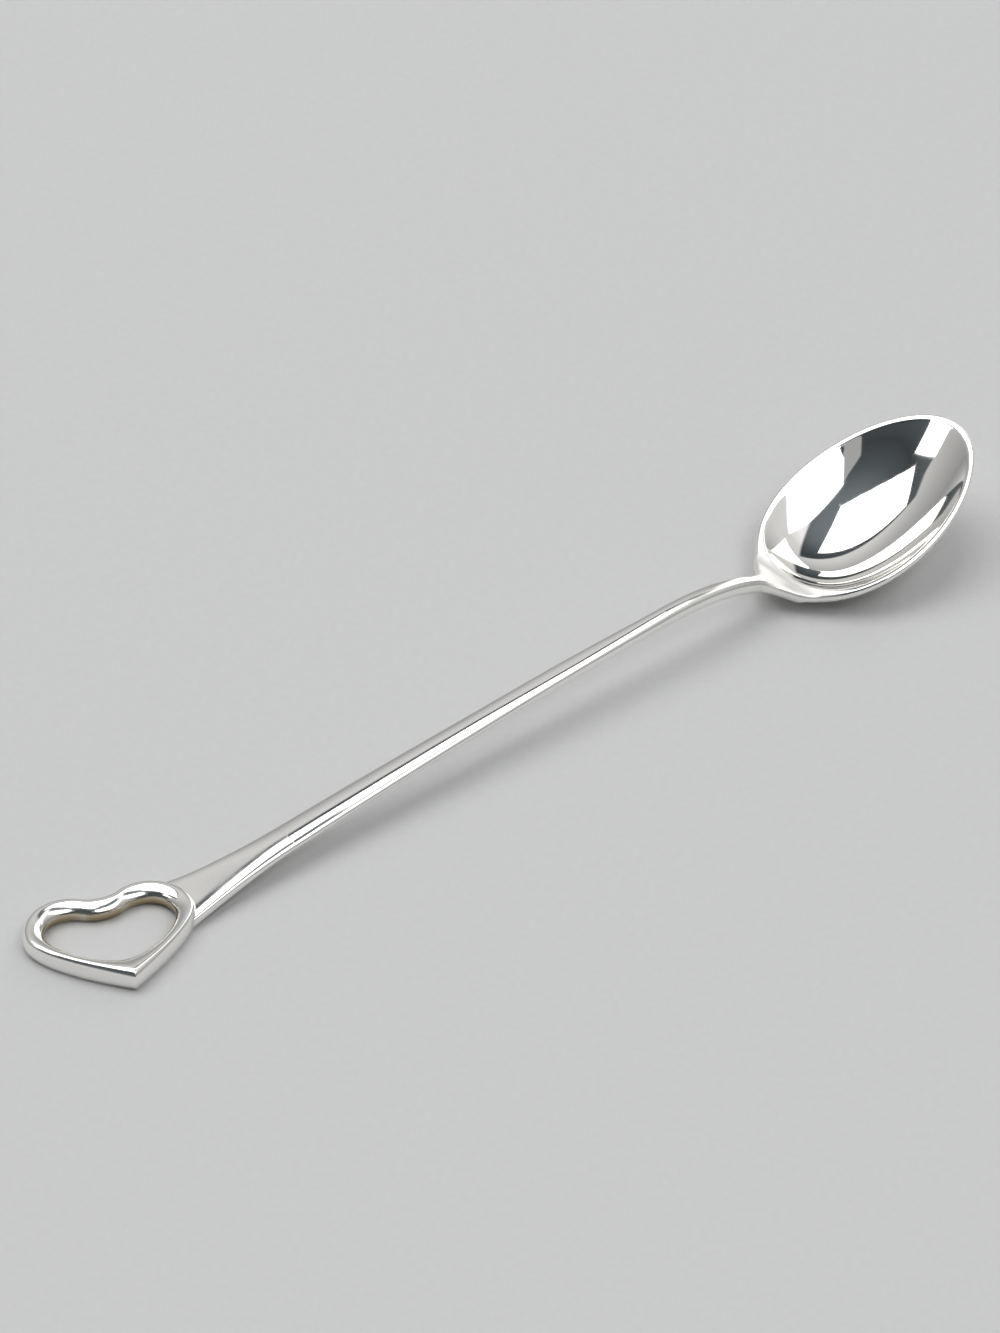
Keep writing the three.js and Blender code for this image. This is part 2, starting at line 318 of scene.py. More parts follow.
def bore_rings(section, centre, slope, inward):
    """The blind bore in a butt end: a ring at its mouth and one at its bottom, with as many points as the
    section. Each point lies at the section point's own angle round the centre, on a circle a clearance wider
    than the peg."""
    depth = inward * (PEG_LENGTH / 2 + 2 * PEG_CLEARANCE - SOLDER_FILM / 2)
    angle = np.arctan2(section[:, 2] - centre[1], section[:, 1])
    across = bore_radius * np.cos(angle)
    up = bore_radius * np.sin(angle)
    mouth = np.stack([np.full_like(angle, centre[0]), across, centre[1] + up], axis=-1)
    bottom = mouth + np.array([depth, 0, depth * slope])
    return mouth[None], bottom[None]


# Bowl and neck
def rim_height(x):
    """The rim's top: a slope that climbs to the tip, with a slight sag in the middle."""
    along = x - bowl_x
    return rim_middle + pitch_slope * along + RIM_SAG * (along / bowl_reach) ** 2


def egg_half_width(x):
    """Half of the rim's width at x: an ellipse that is fuller on its heel side."""
    along = np.clip((x - bowl_x) / bowl_reach, -1, 1)
    return BOWL_WIDTH / 2 * np.sqrt(1 - along ** 2) * (1 - BOWL_FULLNESS * along)


neck_start = (neck_seam_x + SOLDER_FILM / 2, NECK_SEAM_HEIGHT)
neck_end_x = heel_x + HEEL_LAND * NECK_LANDING
neck_points = bezier(centre_line(
    neck_start, slope_of(NECK_SEAM_SLOPE), NECK_CREST_REACH,
    (neck_end_x, rim_height(neck_end_x) - NECK_SINK - LAND_THICKNESS / 2),
    slope_of(NECK_HEEL_SLOPE), NECK_HEEL_REACH,
), np.linspace(0, 1, NECK_SAMPLES))
fan_x = heel_x + 2 * HEEL_LAND


def neck_flare(x):
    """How far the neck has spread into the shoulders: 0 on the neck and 1 where it ends, eased and then
    raised to a power for a gentle start."""
    return ease(x, heel_x - SHOULDER_REACH - SHOULDER_LEAD, neck_end_x) ** SHOULDER_GENTLENESS


def outline_half_width(x):
    """Half of the plan width: the neck's flare and the egg, whichever is wider, blended at the shoulders."""
    neck = lerp(NECK_WIDTH, SHOULDER_WIDTH, neck_flare(x)) / 2 * (1 - ease(x, neck_end_x, fan_x))
    blend = SHOULDER_BLEND * ease(x, heel_x - HEEL_LAND, heel_x) * (1 - ease(x, neck_end_x, fan_x))
    return soft_larger(egg_half_width(x), neck, blend)


def neck_side(x):
    """The neck in side view: the heights of its top and its underside, half its thickness above and below
    its centre line, which draw together towards the land."""
    centre = np.interp(x, neck_points[:, 0], neck_points[:, 1])
    half = lerp(NECK_THICKNESS, LAND_THICKNESS, neck_flare(x)) / 2
    return centre + half, centre - half


def neck_fall(x, y):
    """How far the neck's section falls away beside its middle: half its thickness times one less a
    superellipse, which gets squarer towards the land."""
    squareness = lerp(NECK_SQUARENESS, LAND_SQUARENESS, neck_flare(x))
    across = np.clip(np.abs(y) / np.maximum(outline_half_width(x), TINY), 0, 1)
    top, under = neck_side(x)
    return (top - under) / 2 * (1 - (1 - across ** squareness) ** (1 / squareness))


def hollow_height(x, y):
    """The hollow: a paraboloid of the egg's radius below the rim. At the heel the radius counts for more,
    by a power of how far the place lies towards the heel, so that the hollow is drawn in there."""
    along = (x - bowl_x) / hollow_reach
    across = y / (hollow_half * (1 - BOWL_FULLNESS * np.clip(along, -1, 1)))
    radius = np.hypot(along, across)
    heelward = (1 - along / np.maximum(radius, TINY)) / 2
    setback = (HOLLOW_SETBACK - RIM_WIDTH) / hollow_reach
    drawn = radius + setback * heelward ** LAND_TIGHTNESS * (radius / (1 - setback)) ** LAND_FADE
    return rim_height(x) - BOWL_DEPTH * (1 - drawn ** 2)


def top_height(x, y):
    """The upper surface. Its middle line is the neck's top or the rim's, whichever is higher. Beside it the
    neck falls away, which fades out before the rim, and the hollow is cut into it."""
    middle = soft_larger(neck_side(x)[0], rim_height(x), LAND_BLEND)
    fall = neck_fall(x, y) * (1 - ease(x, heel_x - FALL_FADE_START, heel_x + FALL_FADE_END))
    return soft_smaller(middle - fall, hollow_height(x, y), HOLLOW_EDGE)


def under_height(x, y):
    """The lower surface: the neck's underside, which climbs away inside the bowl, or a paraboloid that is
    deeper than the hollow, a little fuller below the rim, and climbs away beyond the heel, whichever is
    lower."""
    neck = neck_side(x)[1] + neck_fall(x, y) + BOWL_LENGTH * ease(x, heel_x, fan_x)
    along = (x - bowl_x) / under_reach
    across = y / (under_half * (1 - BOWL_FULLNESS * np.clip(along, -1, 1)))
    beyond = soft_larger(heel_x - x, 0, UNDER_BLEND)
    square = along ** 2 + across ** 2
    fuller = UNDER_FULLNESS * ease(square, FULL_START, FULL_CREST) * (1 - ease(square, FULL_CREST, FULL_END))
    bowl = rim_height(x) - RIM_THICKNESS - under_depth * (1 - square) - fuller + HEEL_CLIMB * beyond
    return soft_smaller(neck, bowl, HEEL_BLEND)


def mark_heel(mesh):
    """Marks the heel, which the buff can't reach well, as a point attribute: the sweep from the neck to the
    rim, outside the hollow, and less of the neck."""
    places = np.empty(len(mesh.vertices) * 3)
    mesh.vertices.foreach_get("co", places)
    x, y = places.reshape(-1, 3).T[:2] / MM
    outside = ease(hollow_height(x, y) - rim_height(x), -SATIN_EDGE, SATIN_EDGE)
    sweep = ease(x, heel_x - SATIN_START, heel_x - SATIN_FULL)
    neck = NECK_SATIN * ease(x, neck_seam_x, neck_seam_x + HEEL_LAND)
    satin = outside * np.maximum(neck, sweep) * (1 - ease(x, neck_end_x, fan_x))
    mesh.attributes.new("satin", "FLOAT", "POINT").data.foreach_set("value", satin)


def bowl_piece():
    """Bowl and neck in one skin. Each row runs from the spoon's middle to its outline, straight across on
    the neck and fanning out round the bowl, with its points crowded where it crosses the hollow's edge. The
    rows' tops and undersides make rings that close at the tip."""
    neck_rows = np.linspace(neck_start[0], heel_x - HEEL_LAND, NECK_ROWS, endpoint=False)
    heel_rows = np.linspace(heel_x - HEEL_LAND, fan_x, HEEL_ROWS, endpoint=False)
    fan_angles = np.linspace(math.acos((fan_x - bowl_x) / bowl_reach), 0, FAN_ROWS)
    outline_x = np.concatenate([neck_rows, heel_rows, bowl_x + bowl_reach * np.cos(fan_angles)])
    half = outline_half_width(outline_x)
    middle_x = outline_x - FAN_LAG * np.maximum(outline_x - fan_x, 0)

    row = np.stack([outline_x - middle_x, half], axis=-1)
    edge = np.stack([np.gradient(half), -np.gradient(outline_x)], axis=-1)
    edge /= np.linalg.norm(edge, axis=-1, keepdims=True)
    reach = np.abs((row * edge).sum(axis=-1))
    wall = top_height(outline_x, half) - under_height(outline_x, half)
    widest = lerp(HEEL_EDGE, RIM_EDGE, ease(outline_x, heel_x, fan_x))
    radius = np.clip(EDGE_WALL_SHARE * wall, SHARPEST_EDGE, widest)

    across = np.linspace(0, 1, LIP_SAMPLES)
    lip = rim_height(middle_x[:, None] + row[:, :1] * across)
    hollow = hollow_height(middle_x[:, None] + row[:, :1] * across, row[:, 1:] * across)
    zone = EDGE_ZONE / np.maximum(reach, EDGE_ZONE / ZONE_SHARE)[:, None]
    lip_share = np.clip((lip - hollow) / EDGE_ZONE + 0.5, 0, 1).mean(axis=1)[:, None]
    lip_share = np.clip(lip_share, ZONE_MARGIN * zone, 1 - ZONE_MARGIN * zone)
    top_share = np.concatenate([
        (lip_share - zone) * np.linspace(0, 1, HOLLOW_COLUMNS, endpoint=False),
        lip_share - zone + 2 * zone * np.linspace(0, 1, EDGE_COLUMNS, endpoint=False),
        1 - (1 - lip_share - zone) * (1 - np.linspace(0, 1, RIM_COLUMNS)) ** RIM_CROWDING,
    ], axis=1)
    under_share = 1 - (1 - np.linspace(0, 1, UNDER_COLUMNS)) ** UNDER_CROWDING

    def side(height, share, sign):
        """The rows on one side: the surface's height, less a quarter round of the edge's radius."""
        x = middle_x[:, None] + row[:, :1] * share
        y = row[:, 1:] * share
        near = np.minimum(reach[:, None] * (1 - share), radius[:, None])
        drop = radius[:, None] - np.sqrt(radius[:, None] ** 2 - (radius[:, None] - near) ** 2)
        return np.stack([x, y, height(x, y) - sign * drop], axis=-1)

    top = side(top_height, top_share, 1)
    under = side(under_height, under_share, -1)
    half_rings = np.concatenate([top, under[:, ::-1]], axis=1)
    other = half_rings[:, -2:0:-1] * np.array([1, -1, 1])
    rings = np.concatenate([half_rings, other], axis=1)
    mouth, bottom = bore_rings(rings[0], neck_start, slope_of(NECK_SEAM_SLOPE), 1)
    bowl = skin("silver_bowl", np.concatenate([bottom, mouth, rings]), end_faces=(True, False))
    mark_heel(bowl.data)
    return bowl


# Stem and seams
oval_angles = np.linspace(0, 2 * math.pi, OVAL_POINTS, endpoint=False)


def stem_piece():
    """The stem: superellipse sections along a centre line. The width grows towards the palm with a power of
    the way, the thickness towards the neck, and the section is squarest past the middle."""
    start = (palm_seam_x + SOLDER_FILM / 2, PALM_SEAM_HEIGHT)
    end = (neck_seam_x - SOLDER_FILM / 2, NECK_SEAM_HEIGHT)
    reach = (end[0] - start[0]) / 3
    share = np.linspace(0, 1, STEM_ROWS)
    slopes = slope_of(PALM_SEAM_SLOPE), slope_of(NECK_SEAM_SLOPE)
    line = bezier(centre_line(start, slopes[0], reach, end, slopes[1], reach), share)
    width = NECK_WIDTH + (PALM_SEAM_WIDTH - NECK_WIDTH) * (1 - share) ** STEM_TAPER
    thickness = lerp(PALM_SEAM_THICKNESS, NECK_THICKNESS, share ** STEM_FLATNESS)
    squared = ease(share, SQUARE_START, SQUARE_CREST) * (1 - ease(share, SQUARE_CREST, 1))
    squareness = lerp(lerp(SEAM_SQUARENESS, NECK_SQUARENESS, share), STEM_SQUARENESS, squared)
    across, up = superellipse(oval_angles, squareness[:, None])
    x = np.broadcast_to(line[:, :1], across.shape)
    height = line[:, 1:] + up * thickness[:, None] / 2
    rings = np.stack([x, across * width[:, None] / 2, height], axis=-1)
    first_mouth, first_bottom = bore_rings(rings[0], start, slopes[0], 1)
    last_mouth, last_bottom = bore_rings(rings[-1], end, slopes[1], -1)
    return skin("silver_stem", np.concatenate([first_bottom, first_mouth, rings, last_mouth, last_bottom]))


def solder_piece(name, x, height, width, thickness, squareness):
    """A film of solder between two butt ends: a thin oval washer round the bore."""
    across, up = superellipse(oval_angles, squareness)
    outer = np.stack([np.zeros_like(across), across * width / 2, up * thickness / 2], axis=-1)
    bore = bore_radius / np.linalg.norm(outer, axis=-1, keepdims=True)
    half_film = np.array([SOLDER_FILM / 2, 0, 0])
    washer = [outer * bore - half_film, outer - half_film, outer + half_film, outer * bore + half_film]
    return skin(name, np.stack(washer) + np.array([x, 0, height]), looped=True)


# Heart finial
def heart_side(side, top, bottom, lean):
    """Half of a heart outline on the heart's own axes, as three cubic curves: from the bottom, which it
    leaves at the lean above level, to the widest place, the top of the lobe and the cleft."""
    lean = math.radians(lean)
    low = np.array([0, bottom])
    widest = np.array([side, HEART_HEIGHT - LOBE_RADIUS])
    crest = np.array([LOBE_SPREAD, top])
    cleft = np.array([0, top - CLEFT_DEPTH])
    leaving = side * ROUND_HANDLE * np.array([math.cos(lean), math.sin(lean)])
    rising = np.array([0, (top - widest[1]) * ROUND_HANDLE])
    shoulder = np.array([(side - LOBE_SPREAD) * ROUND_HANDLE, 0])
    dipping = np.array([LOBE_SPREAD * ROUND_HANDLE, 0])
    share = np.linspace(0, 1, HEART_STATIONS, endpoint=False)
    return np.concatenate([
        bezier((low, low + leaving, widest - rising, widest), share),
        bezier((widest, widest + rising, crest + shoulder, crest), share),
        bezier((crest, crest - dipping, cleft + dipping, cleft), share),
        cleft[None],
    ])


def both_sides(half):
    """A half outline followed back along its mirror image."""
    return np.concatenate([half[:-1], half[:0:-1] * np.array([-1, 1])])


def turned(places):
    """The heart's own axes turned about the middle of its height."""
    turn = -math.radians(HEART_TURN)
    matrix = np.array([[math.cos(turn), math.sin(turn)], [-math.sin(turn), math.cos(turn)]])
    return (places - np.array([0, HEART_HEIGHT / 2])) @ matrix


def ring_section():
    """The ring's section: a superellipse standing on a flat, its top tilted so that the crest lies outwards.
    Gives the place across, from -1 at the inside to 1 at the outside, and the height as a share of the
    tallest."""
    angle = np.linspace(0, 2 * math.pi, RING_POINTS, endpoint=False)
    across, up = superellipse(angle, RING_SQUARENESS)
    flat = RING_FLAT / RING_HEIGHT
    tall = np.maximum(0, (1 + flat) / 2 * (1 + up) - flat)
    tall = tall - RING_TILT * (1 - across) / 2 * np.maximum(up, 0)
    return across, tall / tall.max()


section_across, section_tall = ring_section()
outer_side = heart_side(HEART_WIDTH / 2, HEART_HEIGHT, 0, HEART_POINT_ANGLE)
inner_side = heart_side(HEART_WIDTH / 2 - RING_WIDTH, HEART_HEIGHT - RING_WIDTH, POINT_WIDTH, 0)
swell_side = (1 - np.linspace(0, 1, len(outer_side))) ** 2
ring_heights = lerp(RING_HEIGHT, POINT_HEIGHT, np.concatenate([swell_side[:-1], swell_side[:0:-1]]))
outer_outline = turned(both_sides(outer_side))
inner_outline = turned(both_sides(inner_side))
outward = (1 + section_across[None, :, None]) / 2
ring_plan = lerp(inner_outline[:, None], outer_outline[:, None], outward)
heart_x = spoon_low[0] - ring_plan[..., 0].min()
ring_end_x = heart_x + ring_plan[..., 0].max()
middle_line = (inner_outline + outer_outline) / 2 + np.array([heart_x, 0])


def ring_piece():
    """The heart ring: the section carried round between the inner and the outer outline."""
    tall = section_tall[None, :] * ring_heights[:, None]
    rings = np.concatenate([ring_plan + np.array([heart_x, 0]), tall[..., None]], axis=-1)
    return skin("silver_heart", rings, looped=True)


def palm_piece():
    """The palm: superellipse sections from the seam to the ring's middle line. Its width grows with the
    square of the way to the ring, and its far edge flares out again in the last stretch."""
    end_x = palm_seam_x - SOLDER_FILM / 2
    start_x = ring_end_x - PALM_TUCK * RING_WIDTH
    length = end_x - start_x
    slope = slope_of(PALM_SEAM_SLOPE)
    line = centre_line((start_x, PALM_CLEARANCE + PALM_RING_THICKNESS / 2), slope, length / 3,
                       (end_x, PALM_SEAM_HEIGHT), slope, length / 3)
    steady = STEM_TAPER * (PALM_SEAM_WIDTH - NECK_WIDTH) / (neck_seam_x - palm_seam_x) * length

    def plan(away, across):
        """The sideways place: a sidestep, half of the width, and the flare on the far side."""
        width = PALM_SEAM_WIDTH + steady * away + (PALM_RING_WIDTH - PALM_SEAM_WIDTH - steady) * away ** 2
        flare = PALM_FLARE * away ** FLARE_SHARPNESS * np.maximum(across, 0)
        return PALM_RING_SIDESTEP * away ** 2 + across * width / 2 + flare

    share = np.linspace(0, 1, PALM_ROWS)[:, None]
    squareness = lerp(PALM_SQUARENESS, SEAM_SQUARENESS, ease(share, 0, 1))
    across, up = superellipse(oval_angles, squareness)
    facing = middle_line[:2 * HEART_STATIONS]
    tucked_x = np.interp(plan(1.0, across[0]), facing[:, 1], facing[:, 0])
    x = lerp(tucked_x, end_x, share)
    away = np.clip((end_x - x) / length, 0, PALM_OVERRUN)
    height = bezier(line, np.clip(1 - away, 0, 1))[..., 1]
    thickness = lerp(PALM_SEAM_THICKNESS, PALM_RING_THICKNESS, away ** 2)
    rings = np.stack([x, plan(away, across), height + up * thickness / 2], axis=-1)
    folded = rings[:1].copy()
    folded[..., 2] = height[0]
    mouth, bottom = bore_rings(rings[-1], (end_x, PALM_SEAM_HEIGHT), slope, -1)
    return skin("palm_blank", np.concatenate([folded, rings, mouth, bottom]), end_faces=(False, True))


def mark_tarnish_and_shade(mesh):
    """Marks where tarnish lingers and where shade is painted, as a point attribute: on the walls that face
    the middle of the heart, more towards their foot. The mark is partly real tarnish and partly painted shade
    that makes the inner walls darker."""
    count = len(mesh.vertices)
    places = np.empty(count * 3)
    normals = np.empty(count * 3)
    mesh.vertices.foreach_get("co", places)
    mesh.vertex_normals.foreach_get("vector", normals)
    places = places.reshape(-1, 3) / MM
    normals = normals.reshape(-1, 3)
    inward = np.array([heart_x, 0]) - places[:, :2]
    inward /= np.maximum(np.linalg.norm(inward, axis=1, keepdims=True), TINY)
    facing = (normals[:, :2] * inward).sum(axis=1)
    height = places[:, 2]
    # Painted shade as well as tarnish: darker on the walls that face inwards, most at their foot
    recess = ease(facing, *TARNISH_AND_SHADE_FACING) * (1 - ease(height, TARNISH_AND_SHADE_FOOT * RING_HEIGHT, RING_HEIGHT))
    recess *= places[:, 0] < ring_end_x
    mesh.attributes.new("recess", "FLOAT", "POINT").data.foreach_set("value", recess)


def finial_piece():
    """The finial: ring and palm united into one casting."""
    ring = ring_piece()
    palm = palm_piece()
    union = ring.modifiers.new("casting", "BOOLEAN")
    union.operation = "UNION"
    union.solver = "EXACT"
    union.object = palm
    evaluated = ring.evaluated_get(bpy.context.evaluated_depsgraph_get())
    mesh = bpy.data.meshes.new_from_object(evaluated)
    ring.modifiers.clear()
    ring.data = mesh
    bpy.data.objects.remove(palm)
    tidy_mesh(mesh)
    mark_tarnish_and_shade(mesh)
    return ring


# Materials: noise scales count per metre, and hairs are a turn in degrees and a stretch along each axis
SILVER = (0.94, 0.93, 0.905)
# The tarnish colour is partly real tarnish and partly painted shade: it darkens the inner walls of the heart
# ring
TARNISH_AND_SHADE = (0.38, 0.31, 0.18)
WIRE = (0.86, 0.85, 0.82)
LENGTHWISE_HAIRS = (7, (140, 5200, 5200))
CROSSWISE_HAIRS = (62, (180, 6400, 6400))
HAIR_DETAIL = 2
HAIR_DEPTH = 2e-6
SMUDGE_SCALE = 150
SMUDGE_DETAIL = 4
HAIRS_IN_SMUDGES = 0.35
SMUDGE_RANGE = (0.5, 0.9)


def new_node(tree, kind, **settings):
    """A node with its properties set."""
    node = tree.nodes.new(kind)
    for name, value in settings.items():
        setattr(node, name, value)
    return node


def polish_marks_group():
    """What a buffed metal surface shows up close: hair scratches in two directions and soft smudges. It gives
    a roughness, which goes from polished to dulled with the smudges and some of the hairs, and a height for a
    bump, the sum of both hair noises."""
    group = bpy.data.node_groups.new("polish_marks", "ShaderNodeTree")
    face = group.interface
    face.new_socket("Vector", in_out="INPUT", socket_type="NodeSocketVector")
    for name in ("Polished", "Dulled"):
        face.new_socket(name, in_out="INPUT", socket_type="NodeSocketFloat")
    for name in ("Roughness", "Height"):
        face.new_socket(name, in_out="OUTPUT", socket_type="NodeSocketFloat")
    links = group.links
    source = new_node(group, "NodeGroupInput")
    result = new_node(group, "NodeGroupOutput")

    def hairs(turn, stretch):
        """A noise that is turned and drawn out into fine hairs."""
        mapping = new_node(group, "ShaderNodeMapping")
        mapping.inputs["Rotation"].default_value = (0, 0, math.radians(turn))
        mapping.inputs["Scale"].default_value = stretch
        links.new(source.outputs["Vector"], mapping.inputs["Vector"])
        noise = new_node(group, "ShaderNodeTexNoise")
        noise.inputs["Scale"].default_value = 1
        noise.inputs["Detail"].default_value = HAIR_DETAIL
        links.new(mapping.outputs["Vector"], noise.inputs["Vector"])
        return noise.outputs["Fac"]

    lengthwise = hairs(*LENGTHWISE_HAIRS)
    crosswise = hairs(*CROSSWISE_HAIRS)
    height = new_node(group, "ShaderNodeMath", operation="ADD")
    links.new(lengthwise, height.inputs[0])
    links.new(crosswise, height.inputs[1])
    links.new(height.outputs[0], result.inputs["Height"])

    smudge = new_node(group, "ShaderNodeTexNoise")
    smudge.inputs["Scale"].default_value = SMUDGE_SCALE
    smudge.inputs["Detail"].default_value = SMUDGE_DETAIL
    links.new(source.outputs["Vector"], smudge.inputs["Vector"])
    fleck = new_node(group, "ShaderNodeMath", operation="MULTIPLY_ADD")
    links.new(lengthwise, fleck.inputs[0])
    fleck.inputs[1].default_value = HAIRS_IN_SMUDGES
    links.new(smudge.outputs["Fac"], fleck.inputs[2])
    spread = new_node(group, "ShaderNodeMapRange")
    spread.inputs["From Min"].default_value = SMUDGE_RANGE[0]
    spread.inputs["From Max"].default_value = SMUDGE_RANGE[1]
    links.new(fleck.outputs[0], spread.inputs["Value"])
    links.new(source.outputs["Polished"], spread.inputs["To Min"])
    links.new(source.outputs["Dulled"], spread.inputs["To Max"])
    links.new(spread.outputs["Result"], result.inputs["Roughness"])
    return group


polish_marks = polish_marks_group()


def silver_material(name, colour, polished, dulled, bump, tarnish_and_shade=None, satin=None):
    """A silver finish: a plain metal whose roughness and bump come from the polish marks. Where a tarnish
    colour is given, a warm dark film tints the surface by the piece's own recess attribute: partly real
    tarnish, and partly painted shade that darkens the walls. Where satin is given, the roughness goes to that
    value by the piece's own satin attribute."""
    material = bpy.data.materials.new(name)
    material.use_nodes = True
    tree = material.node_tree
    shader = tree.nodes["Principled BSDF"]
    shader.inputs["Base Color"].default_value = (*colour, 1)
    shader.inputs["Metallic"].default_value = 1
    place = new_node(tree, "ShaderNodeTexCoord")
    marks = new_node(tree, "ShaderNodeGroup", node_tree=polish_marks)
    marks.inputs["Polished"].default_value = polished
    marks.inputs["Dulled"].default_value = dulled
    relief = new_node(tree, "ShaderNodeBump")
    relief.inputs["Strength"].default_value = bump
    relief.inputs["Distance"].default_value = HAIR_DEPTH
    tree.links.new(place.outputs["Object"], marks.inputs["Vector"])
    tree.links.new(marks.outputs["Roughness"], shader.inputs["Roughness"])
    tree.links.new(marks.outputs["Height"], relief.inputs["Height"])
    tree.links.new(relief.outputs["Normal"], shader.inputs["Normal"])
    # Painted shade as well as tarnish: the recess attribute tints the ring's inner walls darker towards their
    # foot
    if tarnish_and_shade:
        recess = new_node(tree, "ShaderNodeAttribute", attribute_name="recess")
        tint = new_node(tree, "ShaderNodeMix", data_type="RGBA")
        tint.inputs["A"].default_value = (*colour, 1)
        tint.inputs["B"].default_value = (*tarnish_and_shade, 1)
        tree.links.new(recess.outputs["Fac"], tint.inputs["Factor"])
        tree.links.new(tint.outputs["Result"], shader.inputs["Base Color"])
    if satin:
        brushed = new_node(tree, "ShaderNodeAttribute", attribute_name="satin")
        finish = new_node(tree, "ShaderNodeMix", data_type="FLOAT")
        finish.inputs["B"].default_value = satin
        tree.links.new(brushed.outputs["Fac"], finish.inputs["Factor"])
        tree.links.new(marks.outputs["Roughness"], finish.inputs["A"])
        tree.links.new(finish.outputs["Result"], shader.inputs["Roughness"])
    return material


bowl_silver = silver_material("mirror_silver", SILVER, polished=0.03, dulled=0.07, bump=0.06, satin=0.42)
stem_silver = silver_material("buffed_silver", SILVER, polished=0.06, dulled=0.11, bump=0.08)
heart_silver = silver_material("handled_silver", SILVER, polished=0.09, dulled=0.17, bump=0.08,
                               tarnish_and_shade=TARNISH_AND_SHADE)
solder_silver = silver_material("polished_solder", SILVER, polished=0.06, dulled=0.11, bump=0.08)
peg_silver = silver_material("drawn_silver_wire", WIRE, polished=0.25, dulled=0.4, bump=0.6)


# Assembly
def fit(piece, material, slot, *nodes):
    """Finishes a piece, hangs it on the root body, and hides the solids that it stands for."""
    polish(piece)
    piece.data.materials.clear()
    piece.data.materials.append(material)
    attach(piece, "root")
    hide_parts(*nodes)


fit(bowl_piece(), bowl_silver, "polished_silver", "bowl")
fit(stem_piece(), stem_silver, "polished_silver", "stem")
fit(finial_piece(), heart_silver, "polished_silver", "heart_finial")
neck_film = solder_piece("neck_seam", neck_seam_x, NECK_SEAM_HEIGHT, NECK_WIDTH, NECK_THICKNESS,
                         NECK_SQUARENESS)
fit(neck_film, solder_silver, "silver_solder", "neck_solder")
palm_film = solder_piece("palm_seam", palm_seam_x, PALM_SEAM_HEIGHT, PALM_SEAM_WIDTH, PALM_SEAM_THICKNESS,
                         SEAM_SQUARENESS)
fit(palm_film, solder_silver, "silver_solder", "finial_solder")
for peg in ("neck_peg", "finial_peg"):
    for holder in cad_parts[peg].material_slots:
        holder.material = peg_silver

# Floor, in metres: pale and matt near the spoon, and a plain pale glow far away, so that it runs out into
# the backdrop
PALE = 0.56
FLOOR_HALF = 30
FLOOR_ROUGHNESS = 0.75
FLOOR_GRAIN = 900
FLOOR_SHADES = (0.57, 0.61)
FLOOR_FADE = (0.3, 1.2)


def floor_material():
    """A matt pale floor with a faint grain, which gives way to a plain pale glow with the distance."""
    material = bpy.data.materials.new("pale_floor")
    material.use_nodes = True
    tree = material.node_tree
    near = tree.nodes["Principled BSDF"]
    near.inputs["Roughness"].default_value = FLOOR_ROUGHNESS
    place = new_node(tree, "ShaderNodeTexCoord")
    grain = new_node(tree, "ShaderNodeTexNoise")
    grain.inputs["Scale"].default_value = FLOOR_GRAIN
    shade = new_node(tree, "ShaderNodeMapRange")
    shade.inputs["To Min"].default_value = FLOOR_SHADES[0]
    shade.inputs["To Max"].default_value = FLOOR_SHADES[1]
    far = new_node(tree, "ShaderNodeEmission")
    far.inputs["Color"].default_value = (PALE, PALE, PALE, 1)
    distance = new_node(tree, "ShaderNodeVectorMath", operation="LENGTH")
    fade = new_node(tree, "ShaderNodeMapRange", interpolation_type="SMOOTHSTEP")
    fade.inputs["From Min"].default_value = FLOOR_FADE[0]
    fade.inputs["From Max"].default_value = FLOOR_FADE[1]
    mix = new_node(tree, "ShaderNodeMixShader")
    tree.links.new(place.outputs["Object"], grain.inputs["Vector"])
    tree.links.new(grain.outputs["Fac"], shade.inputs["Value"])
    tree.links.new(shade.outputs["Result"], near.inputs["Base Color"])
    tree.links.new(place.outputs["Object"], distance.inputs[0])
    tree.links.new(distance.outputs["Value"], fade.inputs["Value"])
    tree.links.new(fade.outputs["Result"], mix.inputs[0])
    tree.links.new(near.outputs[0], mix.inputs[1])
    tree.links.new(far.outputs[0], mix.inputs[2])
    tree.links.new(mix.outputs[0], tree.nodes["Material Output"].inputs["Surface"])
    return material


def floor_piece():
    """The floor: one wide level sheet under the spoon."""
    corners = np.array([(-1, -1, 0), (1, -1, 0), (1, 1, 0), (-1, 1, 0)]) * FLOOR_HALF
    mesh = bpy.data.meshes.new("floor")
    mesh.from_pydata(corners.tolist(), [], [(0, 1, 2, 3)])
    mesh.materials.append(floor_material())
    floor = bpy.data.objects.new("floor", mesh)
    bpy.context.scene.collection.objects.link(floor)


floor_piece()


# Camera, in degrees and millimetres: heading, tilt, distance and the place on the floor at the picture's
# centre, and the focal length and the picture's height in pixels
HEADING = 40.05
TILT = 38.0
CAMERA_DISTANCE = 650
AIM = Vector((5.73, 12.45, 0))
FOCAL_PIXELS = 5033.3
IMAGE_HEIGHT = 1333
SENSOR = 36

heading, tilt = math.radians(HEADING), math.radians(TILT)
ahead = Vector((math.sin(heading), math.cos(heading), 0))
rightward = Vector((math.cos(heading), -math.sin(heading), 0))
upright = Vector((0, 0, 1))
gaze = ahead * math.cos(tilt) - upright * math.sin(tilt)

camera_data = bpy.data.cameras.new("camera")
camera_data.sensor_fit = "VERTICAL"
camera_data.sensor_height = SENSOR
camera_data.lens = FOCAL_PIXELS * SENSOR / IMAGE_HEIGHT
camera = bpy.data.objects.new("camera", camera_data)
camera_axes = Matrix((rightward, rightward.cross(gaze), -gaze)).transposed().to_4x4()
camera.matrix_world = Matrix.Translation((AIM - gaze * CAMERA_DISTANCE) * MM) @ camera_axes
bpy.context.scene.collection.objects.link(camera)
bpy.context.scene.camera = camera


